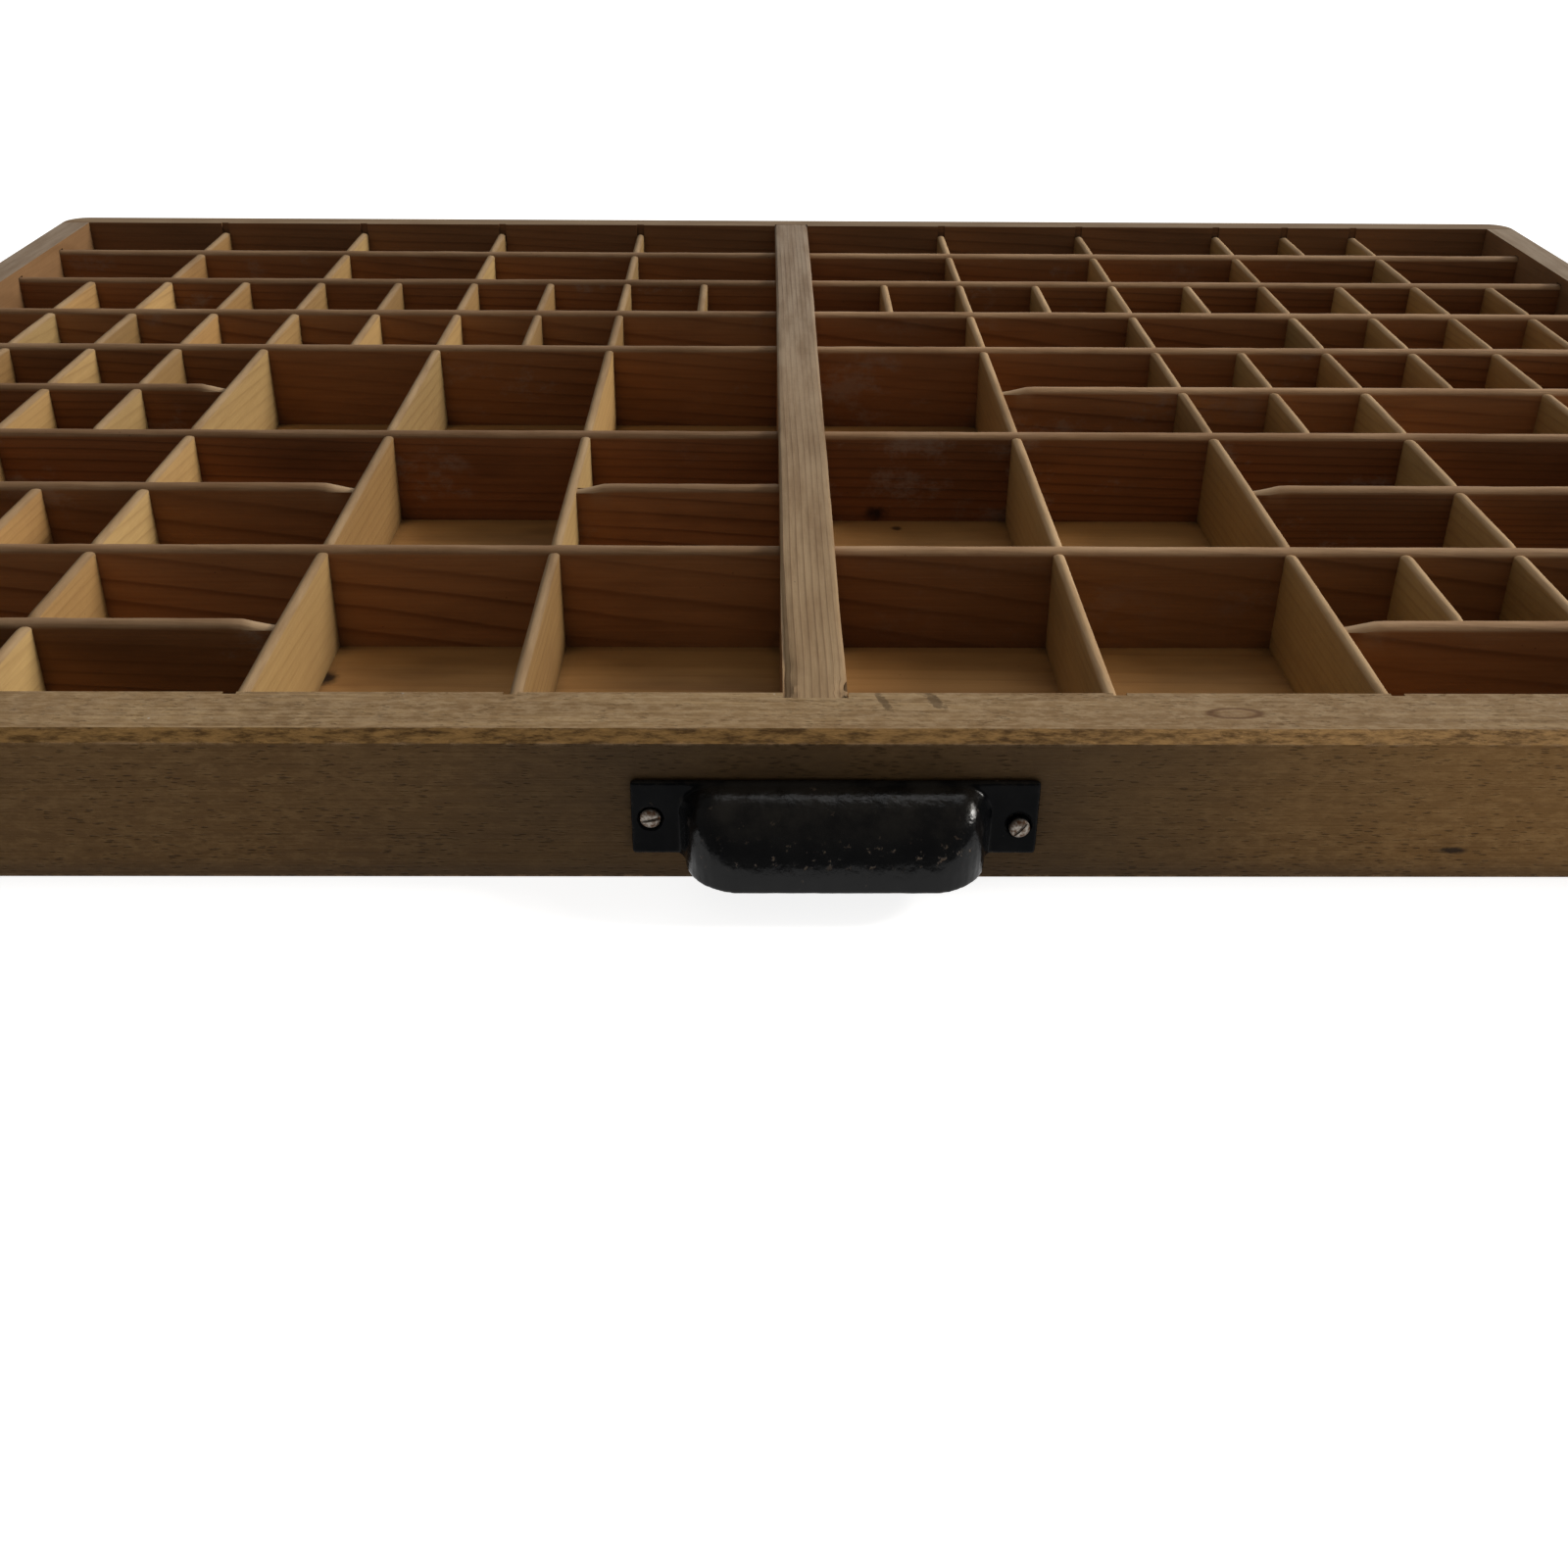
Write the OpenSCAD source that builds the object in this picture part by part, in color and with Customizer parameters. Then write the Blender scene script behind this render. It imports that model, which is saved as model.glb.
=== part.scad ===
// Type case: a shallow compartmented drawer for metal type, with a cast cup pull on its front rail.
// The frame is comb jointed round a rebated bottom board. A centre stile splits it into two halves.
// Long strips are housed in the rails and stile, and short dividers are housed in the strips.
//
// Origin: centre of the underside. +X right, +Y to the back, +Z up. Units: mm.

/* [Case] */

// Overall width over the side rails
case_w = 660; // [400:1:900]
// Overall depth over the front and back rails, without the pull
case_d = 483; // [300:1:600]
// Overall height of the rails
case_h = 37; // [28:0.5:60]
// Thickness of the front rail
front_t = 19; // [12:0.5:26]
// Thickness of the back rail
back_t = 10; // [8:0.5:20]
// Thickness of each side rail
side_t = 12; // [8:0.5:20]
// Thickness of the stile between the two halves
stile_t = 14.6; // [8:0.1:24]
// Bevel along the top front edge of the front rail
bevel = 2.5; // [0:0.1:6]
// Radius of the two back corners, seen from above
back_corner_r = 9; // [1:0.5:12]
// Radius of the two front corners, seen from above
front_corner_r = 2.5; // [0.5:0.5:12]
// Fingers in each comb joint
fingers = 5; // [3:2:9]

/* [Bottom board] */

// Thickness of the bottom board
board_t = 4.5; // [3:0.5:9]
// Width of the rebate that takes the bottom board
rebate_w = 6; // [3:0.5:8]
// Spacing of the nails along the front and back rails
nail_pitch = 104; // [40:1:160]
// Radius of a nail's shank
nail_r = 0.9; // [0.5:0.1:1.5]
// Radius of a nail's head
nail_head_r = 2; // [1:0.1:3]
// Length of a nail
nail_l = 20; // [12:1:30]

/* [Strips and dividers] */

// Units across each half
units = 10; // [4:1:12]
// Rows from front to back
rows = 10; // [4:1:12]
// Pitch of the rows; the back row takes what is left
pitch_y = 46.5; // [30:0.1:60]
// Thickness of the long strips
strip_t = 4.4; // [2:0.1:8]
// Thickness of the short dividers
div_t = 3; // [1.5:0.1:6]
// How far the strip tops sit below the rail tops
strip_drop = 3; // [0:0.1:8]
// How far the divider tops sit below the strip tops
div_drop = 0.5; // [0:0.1:3]
// Depth of the housings in the rails and the stile
house = 2.5; // [1:0.1:5]
// Depth of the housings in the strips and dividers
groove = 1; // [0.4:0.1:1.4]
// Length of the bevel where a part strip meets a divider
snipe_l = 8.5; // [0:0.5:15]
// Drop of that bevel
snipe_h = 2; // [0:0.1:4]

/* [Cup pull] */

// Distance of the pull's middle to the right of the case's middle
pull_x = 4.1; // [-40:0.1:40]
// Width over the two ears
pull_w = 90; // [60:0.5:120]
// Height of the plate
pull_h = 18.5; // [12:0.5:26]
// Height of the plate's lower edge above the underside
pull_z = 7.4; // [2:0.1:14]
// Thickness of the plate
plate_t = 2; // [1:0.1:4]
// Width of the cup
cup_w = 66; // [40:0.5:90]
// How far the cup stands out from the rail
cup_r = 18; // [12:0.5:26]
// Wall thickness of the cup
cup_wall = 2.4; // [1:0.1:4]
// Radius of the cup's two corners, seen from above
cup_corner_r = 8; // [4:0.5:14]
// Distance between the two screws
screw_pitch = 81.4; // [50:0.1:110]
// Mean height of the screws above the underside
screw_z = 15.8; // [8:0.1:22]
// How much higher the left screw sits than the right one
screw_step = 1.6; // [-3:0.1:3]
// Radius of a screw's shank
screw_r = 1.4; // [1:0.1:3]
// Radius of a screw's head
head_r = 2.4; // [1.5:0.1:4]

/* [Hidden] */

$fn = 48;
eps = 0.02;
gap = 0.04;

// inside faces of the frame
front_y = -case_d/2 + front_t;
back_y = case_d/2 - back_t;
left_x = -case_w/2 + side_t;
right_x = case_w/2 - side_t;

// grid of each half
half_w = (case_w - 2*side_t - stile_t)/2;
pitch_x = (half_w + div_t)/units;

// levels
strip_top = case_h - strip_drop;
div_top = strip_top - div_drop;

// left edge of a half: -1 is the left half, 1 is the right half
function half_x(s) = s < 0 ? left_x : stile_t/2;
// middle of unit boundary k and of row boundary j
function bx(s, k) = half_x(s) + k*pitch_x - div_t/2;
function ry(j) = front_y + j*pitch_y - strip_t/2;

// rows of dividers: [front boundary, back boundary, [unit boundaries]]
left_a = [9, 10, [2, 4, 6, 8]];
left_b = [8, 9, [2, 4, 6, 8]];
left_c = [7, 8, [1, 2, 3, 4, 5, 6, 7, 8, 9]];
left_d = [6, 7, [1, 2, 3, 4, 5, 6, 7, 8]];
left_e = [4, 6, [4, 6, 8]];
left_e_upper = [5, 6, [1, 2, 3]];
left_e_lower = [4, 5, [1, 2, 3]];
left_f = [2, 4, [6, 8]];
left_f_upper = [3, 4, [2, 4]];
left_f_lower = [2, 3, [1, 2, 3, 4]];
left_g = [0, 2, [6, 8]];
left_g_upper = [1, 2, [2, 4]];
left_g_lower = [0, 1, [2, 4]];
right_a = [9, 10, [2, 4, 6, 7, 8]];
right_b = [8, 9, [2, 4, 6, 8]];
right_c = [7, 8, [1, 2, 3, 4, 5, 6, 7, 8, 9]];
right_d = [6, 7, [2, 4, 6, 7, 8, 9]];
right_e = [4, 6, [2]];
right_e_upper = [5, 6, [4, 5, 6, 7, 8, 9]];
right_e_lower = [4, 5, [4, 5, 6, 8]];
right_f = [2, 4, [2, 4]];
right_f_upper = [3, 4, [6, 8]];
right_f_lower = [2, 3, [6, 8]];
right_g = [0, 2, [2, 4]];
right_g_upper = [1, 2, [5, 6, 7, 8, 9]];
right_g_lower = [0, 1, [7]];

left_rows = [left_a, left_b, left_c, left_d, left_e, left_e_upper, left_e_lower,
             left_f, left_f_upper, left_f_lower, left_g, left_g_upper, left_g_lower];
right_rows = [right_a, right_b, right_c, right_d, right_e, right_e_upper, right_e_lower,
              right_f, right_f_upper, right_f_lower, right_g, right_g_upper, right_g_lower];
function half_rows(s) = s < 0 ? left_rows : right_rows;

// row boundaries with a strip across the whole half
long_rows = [9, 8, 7, 6, 4, 2];
// strips across part of a half: [row boundary, from unit boundary, to unit boundary]
left_parts = [[5, 0, 4], [3, 0, 6], [3, 8, 10], [1, 0, 6]];
right_parts = [[5, 2, 10], [3, 4, 10], [1, 4, 10]];
function half_parts(s) = s < 0 ? left_parts : right_parts;

// colours
rail_c = [0.45, 0.33, 0.23];
front_c = [0.34, 0.25, 0.19];
strip_c = [0.47, 0.31, 0.20];
div_c = [0.60, 0.44, 0.29];
board_c = [0.72, 0.58, 0.40];
iron_c = [0.06, 0.06, 0.06];
steel_c = [0.30, 0.24, 0.20];

// Every separate piece of the case

// ---------- helpers ----------

module box(x0, x1, y0, y1, z0, z1) {
    translate([x0, y0, z0])
        cube([x1 - x0, y1 - y0, z1 - z0]);
}

// board along X with a half-round top
module bar_x(x0, x1, y, t, top) {
    box(x0, x1, y - t/2, y + t/2, board_t, top - t/2);
    translate([x0, y, top - t/2])
        rotate([0, 90, 0])
            cylinder(h = x1 - x0, r = t/2);
}

// board along Y with a half-round top
module bar_y(y0, y1, x, t, top) {
    box(x - t/2, x + t/2, y0, y1, board_t, top - t/2);
    translate([x, y0, top - t/2])
        rotate([-90, 0, 0])
            cylinder(h = y1 - y0, r = t/2);
}

// what a rounded vertical corner takes away; sx and sy point out of the case
module corner_waste(sx, sy, r) {
    translate([sx*(case_w/2 - r), sy*(case_d/2 - r), -1])
        difference() {
            translate([sx > 0 ? 0 : -r - 1, sy > 0 ? 0 : -r - 1, 0])
                cube([r + 1, r + 1, case_h + 2]);
            translate([0, 0, -1])
                cylinder(h = case_h + 4, r = r);
        }
}

module corners_waste() {
    corner_waste(-1, 1, back_corner_r);
    corner_waste(1, 1, back_corner_r);
    corner_waste(-1, -1, front_corner_r);
    corner_waste(1, -1, front_corner_r);
}

// bevel along the top front edge
module bevel_waste() {
    translate([0, -case_d/2, case_h - bevel])
        rotate([45, 0, 0])
            translate([-case_w/2 - 1, -2*bevel, 0])
                cube([case_w + 2, 4*bevel, 4*bevel]);
}

// fingers of the side rails through the front and back rails
module side_fingers(s) {
    finger_h = case_h/fingers;
    x0 = s < 0 ? -case_w/2 - eps : right_x;
    x1 = s < 0 ? left_x : case_w/2 + eps;
    for (i = [1:2:fingers - 1]) {
        box(x0, x1, -case_d/2 - eps, front_y + eps, i*finger_h, (i + 1)*finger_h);
        box(x0, x1, back_y - eps, case_d/2 + eps, i*finger_h, (i + 1)*finger_h);
    }
}

module board_space() {
    box(left_x - rebate_w, right_x + rebate_w, front_y - rebate_w, back_y + rebate_w, -1, board_t);
}

// places every nail, with its head at the underside
module each_nail() {
    ex = (case_w - 2*side_t)/2 + rebate_w/2;
    for (i = [-3:3]) {
        translate([i*nail_pitch, front_y - rebate_w/2, 0])
            children();
        translate([i*nail_pitch, back_y + rebate_w/2, 0])
            children();
    }
    for (i = [-2:2]) {
        translate([-ex, i*nail_pitch*0.85 - 4, 0])
            children();
        translate([ex, i*nail_pitch*0.85 - 4, 0])
            children();
    }
    for (i = [-2:2])
        translate([0, i*nail_pitch*0.85 - 4, 0])
            children();
}

module nail_bores() {
    each_nail() {
        translate([0, 0, -1])
            cylinder(h = nail_l + 1.4, r = nail_r + gap);
        translate([0, 0, -1])
            cylinder(h = 2, r = nail_head_r + gap);
    }
}

// housing for a divider end; y0 and y1 bound its depth
module div_house(s, k, y0, y1) {
    x = bx(s, k);
    box(x - div_t/2 - gap, x + div_t/2 + gap, y0, y1, board_t - 1, case_h + 1);
}

// housing for a strip end in a rail or the stile
module strip_house(j, x0, x1) {
    box(x0, x1, ry(j) - strip_t/2 - gap, ry(j) + strip_t/2 + gap, board_t - 1, strip_top + gap);
}

// ---------- frame ----------

module front_rail() {
    color(front_c)
        difference() {
            box(-case_w/2, case_w/2, -case_d/2, front_y, 0, case_h);
            side_fingers(-1);
            side_fingers(1);
            corners_waste();
            bevel_waste();
            board_space();
            box(-stile_t/2 - gap, stile_t/2 + gap, front_y - house - gap, front_y + 1,
                board_t - 1, case_h + 1);
            for (s = [-1, 1])
                for (r = half_rows(s))
                    if (r[0] == 0)
                        for (k = r[2])
                            div_house(s, k, front_y - groove - gap, front_y + 1);
            for (s = [-1, 1])
                translate([pull_x + s*screw_pitch/2, -case_d/2 - 1, screw_z - s*screw_step/2])
                    rotate([-90, 0, 0])
                        cylinder(h = 13.5, r = screw_r + gap);
            nail_bores();
        }
}

module back_rail() {
    color(rail_c)
        difference() {
            box(-case_w/2, case_w/2, back_y, case_d/2, 0, case_h);
            side_fingers(-1);
            side_fingers(1);
            corners_waste();
            board_space();
            box(-stile_t/2 - gap, stile_t/2 + gap, back_y - 1, back_y + house + gap,
                board_t - 1, case_h + 1);
            for (s = [-1, 1])
                for (r = half_rows(s))
                    if (r[1] == rows)
                        for (k = r[2])
                            div_house(s, k, back_y - 1, back_y + groove + gap);
            nail_bores();
        }
}

module side_rail(s) {
    x0 = s < 0 ? -case_w/2 : right_x;
    hx0 = s < 0 ? left_x - house - gap : right_x - 1;
    hx1 = s < 0 ? left_x + 1 : right_x + house + gap;
    end_k = s < 0 ? 0 : units;
    color(rail_c)
        difference() {
            union() {
                box(x0, x0 + side_t, front_y, back_y, 0, case_h);
                intersection() {
                    side_fingers(s);
                    box(-case_w/2, case_w/2, -case_d/2, case_d/2, 0, case_h);
                }
            }
            corners_waste();
            board_space();
            for (j = long_rows)
                strip_house(j, hx0, hx1);
            for (p = half_parts(s))
                if (p[1] == end_k || p[2] == end_k)
                    strip_house(p[0], hx0, hx1);
            nail_bores();
        }
}

module left_rail() {
    side_rail(-1);
}

module right_rail() {
    side_rail(1);
}

module centre_stile() {
    color(rail_c)
        difference() {
            box(-stile_t/2, stile_t/2, front_y - house, back_y + house, board_t, case_h);
            for (j = long_rows) {
                strip_house(j, -stile_t/2 - 1, -stile_t/2 + house + gap);
                strip_house(j, stile_t/2 - house - gap, stile_t/2 + 1);
            }
            for (p = left_parts)
                if (p[2] == units)
                    strip_house(p[0], -stile_t/2 - 1, -stile_t/2 + house + gap);
            nail_bores();
        }
}

module bottom_board() {
    color(board_c)
        difference() {
            box(left_x - rebate_w, right_x + rebate_w, front_y - rebate_w, back_y + rebate_w,
                0, board_t);
            nail_bores();
        }
}

module bottom_nails() {
    color(steel_c)
        each_nail() {
            translate([0, 0, 0.2])
                cylinder(h = nail_l, r = nail_r);
            translate([0, 0, 0.2])
                cylinder(h = 0.8, r = nail_head_r);
        }
}

// ---------- strips ----------

// housings in the two faces of strip j
module strip_grooves(s, j, k0, k1) {
    for (r = half_rows(s))
        for (k = r[2])
            if (k > k0 && k < k1) {
                if (r[0] == j)
                    div_house(s, k, ry(j) + strip_t/2 - groove - gap, ry(j) + strip_t/2 + 1);
                if (r[1] == j)
                    div_house(s, k, ry(j) - strip_t/2 - 1, ry(j) - strip_t/2 + groove + gap);
            }
}

module long_strip(s, j) {
    color(strip_c)
        difference() {
            bar_x(half_x(s) - house, half_x(s) + half_w + house, ry(j), strip_t, strip_top);
            strip_grooves(s, j, 0, units);
        }
}

// slope cut down to a divider at x; dir points from the divider into the strip
module snipe(x, j, dir) {
    translate([x, ry(j) - strip_t, strip_top - snipe_h])
        rotate([0, -dir*atan(snipe_h/snipe_l), 0])
            translate([-20, 0, 0])
                cube([40, 2*strip_t, 8]);
}

module part_strip(s, p) {
    j = p[0];
    from_div = p[1] > 0;
    to_div = p[2] < units;
    x0 = from_div ? bx(s, p[1]) + div_t/2 - groove : half_x(s) - house;
    x1 = to_div ? bx(s, p[2]) - div_t/2 + groove : half_x(s) + half_w + house;
    color(strip_c)
        difference() {
            bar_x(x0, x1, ry(j), strip_t, strip_top);
            strip_grooves(s, j, p[1], p[2]);
            if (from_div)
                intersection() {
                    snipe(x0 + groove, j, 1);
                    box(x0 - 1, x0 + 40, ry(j) - 9, ry(j) + 9, 0, 60);
                }
            if (to_div)
                intersection() {
                    snipe(x1 - groove, j, -1);
                    box(x1 - 40, x1 + 1, ry(j) - 9, ry(j) + 9, 0, 60);
                }
        }
}

// ---------- dividers ----------

module divider(s, k, j0, j1) {
    y0 = j0 == 0 ? front_y - groove : ry(j0) + strip_t/2 - groove;
    y1 = j1 == rows ? back_y + groove : ry(j1) - strip_t/2 + groove;
    x = bx(s, k);
    difference() {
        bar_y(y0, y1, x, div_t, div_top);
        for (p = half_parts(s))
            if (p[0] > j0 && p[0] < j1) {
                if (p[2] == k)
                    strip_house(p[0], x - div_t, x - div_t/2 + groove + gap);
                if (p[1] == k)
                    strip_house(p[0], x + div_t/2 - groove - gap, x + div_t);
            }
    }
}

module dividers(s, r) {
    color(div_c)
        for (k = r[2])
            divider(s, k, r[0], r[1]);
}

// ---------- cup pull ----------

// rounded plate outline standing in the XZ plane, t thick towards the front
module upright_plate(w, h, r, t) {
    rotate([90, 0, 0])
        linear_extrude(height = t)
            union() {
                translate([-w/2 + r, 0])
                    square([w - 2*r, h]);
                translate([-w/2, r])
                    square([w, h - 2*r]);
                for (sx = [-1, 1])
                    for (z = [r, h - r])
                        translate([sx*(w/2 - r), z])
                            circle(r = r);
            }
}

// block with two rounded front corners
module cup_plan(w, d, r, h) {
    translate([-w/2 + r, -d, 0])
        cube([w - 2*r, d, h]);
    translate([-w/2, -d + r, 0])
        cube([w, d - r, h]);
    for (sx = [-1, 1])
        translate([sx*(w/2 - r), -d + r, 0])
            cylinder(h = h, r = r);
}

// quarter-round body of the cup, shrunk by inset
module cup_body(inset) {
    intersection() {
        translate([-cup_w/2, 0, 0])
            rotate([0, 90, 0])
                cylinder(h = cup_w, r = cup_r - inset);
        cup_plan(cup_w - 2*inset, cup_r - inset, cup_corner_r - inset, cup_r + 1);
    }
}

module cup_pull() {
    color(iron_c)
        translate([pull_x, -case_d/2, 0])
            difference() {
                union() {
                    translate([0, 0, pull_z])
                        upright_plate(pull_w, pull_h, 1.5, plate_t);
                    translate([0, 0, pull_z])
                        cup_body(0);
                }
                intersection() {
                    translate([0, 0, pull_z])
                        cup_body(cup_wall);
                    box(-cup_w, cup_w, -cup_r, -plate_t, 0, 60);
                }
                for (sx = [-1, 1])
                    translate([sx*screw_pitch/2, 1, screw_z - sx*screw_step/2])
                        rotate([90, 0, 0])
                            cylinder(h = plate_t + 2, r = screw_r + 0.3);
            }
}

// ---------- screws ----------

// slotted round-head screw driven into the front rail
module pull_screw(s, proud, turn) {
    dome = 1.5;
    ball = (head_r*head_r + dome*dome)/(2*dome);
    color(steel_c)
        translate([pull_x + s*screw_pitch/2, -case_d/2, screw_z - s*screw_step/2])
            rotate([90, 0, 0]) {
                translate([0, 0, -12])
                    cylinder(h = 12 + plate_t + proud, r = screw_r);
                difference() {
                    translate([0, 0, plate_t + proud])
                        intersection() {
                            cylinder(h = dome, r = head_r);
                            translate([0, 0, dome - ball])
                                sphere(r = ball);
                        }
                    translate([0, 0, plate_t + proud + 0.9])
                        rotate([0, 0, turn])
                            translate([-4, -0.4, 0])
                                cube([8, 0.8, 3]);
                }
            }
}

module pull_screw_left() {
    pull_screw(-1, 0.02, 10);
}

module pull_screw_right() {
    pull_screw(1, 0.9, 40);
}

// ---------- assembly ----------

front_rail();
back_rail();
left_rail();
right_rail();
centre_stile();
bottom_board();
bottom_nails();
cup_pull();
pull_screw_left();
pull_screw_right();
long_strip(-1, 9);  // left_strip_9
long_strip(-1, 8);  // left_strip_8
long_strip(-1, 7);  // left_strip_7
long_strip(-1, 6);  // left_strip_6
long_strip(-1, 4);  // left_strip_4
long_strip(-1, 2);  // left_strip_2
long_strip(1, 9);  // right_strip_9
long_strip(1, 8);  // right_strip_8
long_strip(1, 7);  // right_strip_7
long_strip(1, 6);  // right_strip_6
long_strip(1, 4);  // right_strip_4
long_strip(1, 2);  // right_strip_2
part_strip(-1, left_parts[0]);  // left_part_strip_5
part_strip(-1, left_parts[1]);  // left_part_strip_3
part_strip(-1, left_parts[2]);  // left_short_strip_3
part_strip(-1, left_parts[3]);  // left_part_strip_1
part_strip(1, right_parts[0]);  // right_part_strip_5
part_strip(1, right_parts[1]);  // right_part_strip_3
part_strip(1, right_parts[2]);  // right_part_strip_1
dividers(-1, left_a);  // left_dividers_a
dividers(-1, left_b);  // left_dividers_b
dividers(-1, left_c);  // left_dividers_c
dividers(-1, left_d);  // left_dividers_d
dividers(-1, left_e);  // left_dividers_e
dividers(-1, left_e_upper);  // left_dividers_e_upper
dividers(-1, left_e_lower);  // left_dividers_e_lower
dividers(-1, left_f);  // left_dividers_f
dividers(-1, left_f_upper);  // left_dividers_f_upper
dividers(-1, left_f_lower);  // left_dividers_f_lower
dividers(-1, left_g);  // left_dividers_g
dividers(-1, left_g_upper);  // left_dividers_g_upper
dividers(-1, left_g_lower);  // left_dividers_g_lower
dividers(1, right_a);  // right_dividers_a
dividers(1, right_b);  // right_dividers_b
dividers(1, right_c);  // right_dividers_c
dividers(1, right_d);  // right_dividers_d
dividers(1, right_e);  // right_dividers_e
dividers(1, right_e_upper);  // right_dividers_e_upper
dividers(1, right_e_lower);  // right_dividers_e_lower
dividers(1, right_f);  // right_dividers_f
dividers(1, right_f_upper);  // right_dividers_f_upper
dividers(1, right_f_lower);  // right_dividers_f_lower
dividers(1, right_g);  // right_dividers_g
dividers(1, right_g_upper);  // right_dividers_g_upper
dividers(1, right_g_lower);  // right_dividers_g_lower
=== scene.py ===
import math

import bmesh
import bpy
from mathutils import Matrix, Vector, noise


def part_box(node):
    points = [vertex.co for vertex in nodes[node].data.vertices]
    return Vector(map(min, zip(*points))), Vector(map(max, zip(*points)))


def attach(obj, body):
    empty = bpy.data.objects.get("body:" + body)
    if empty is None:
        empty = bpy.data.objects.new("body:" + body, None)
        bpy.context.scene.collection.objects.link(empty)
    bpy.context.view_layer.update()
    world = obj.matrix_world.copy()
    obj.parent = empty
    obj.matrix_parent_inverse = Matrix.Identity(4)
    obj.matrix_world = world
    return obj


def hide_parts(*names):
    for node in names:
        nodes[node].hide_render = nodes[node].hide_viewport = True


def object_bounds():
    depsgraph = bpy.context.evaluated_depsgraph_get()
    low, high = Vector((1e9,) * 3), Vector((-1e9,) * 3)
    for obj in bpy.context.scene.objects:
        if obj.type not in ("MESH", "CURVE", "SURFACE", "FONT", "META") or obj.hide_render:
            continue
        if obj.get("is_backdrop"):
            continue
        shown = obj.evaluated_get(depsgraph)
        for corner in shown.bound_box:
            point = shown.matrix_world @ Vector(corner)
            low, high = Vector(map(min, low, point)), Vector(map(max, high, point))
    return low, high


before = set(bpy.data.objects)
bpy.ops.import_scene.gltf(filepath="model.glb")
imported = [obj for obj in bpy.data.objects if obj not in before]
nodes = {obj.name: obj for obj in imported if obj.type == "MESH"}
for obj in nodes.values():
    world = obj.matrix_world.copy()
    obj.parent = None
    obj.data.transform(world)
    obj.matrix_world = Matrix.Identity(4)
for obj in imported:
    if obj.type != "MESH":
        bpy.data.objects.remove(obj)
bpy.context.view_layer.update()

scene = bpy.context.scene
scene.view_settings.view_transform = "Standard"

# ---------------------------------------------------------------- sizes, all from the CAD boxes
MM = 0.001
frl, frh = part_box("front_rail")
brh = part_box("back_rail")[1]
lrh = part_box("left_rail")[1]
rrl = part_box("right_rail")[0]
stl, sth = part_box("centre_stile")
pul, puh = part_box("cup_pull")
FRONT = frl.y
TOP = frh.z
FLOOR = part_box("bottom_board")[1].z
HALL_L = (lrh.x, stl.x)
HALL_R = (sth.x, rrl.x)


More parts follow.
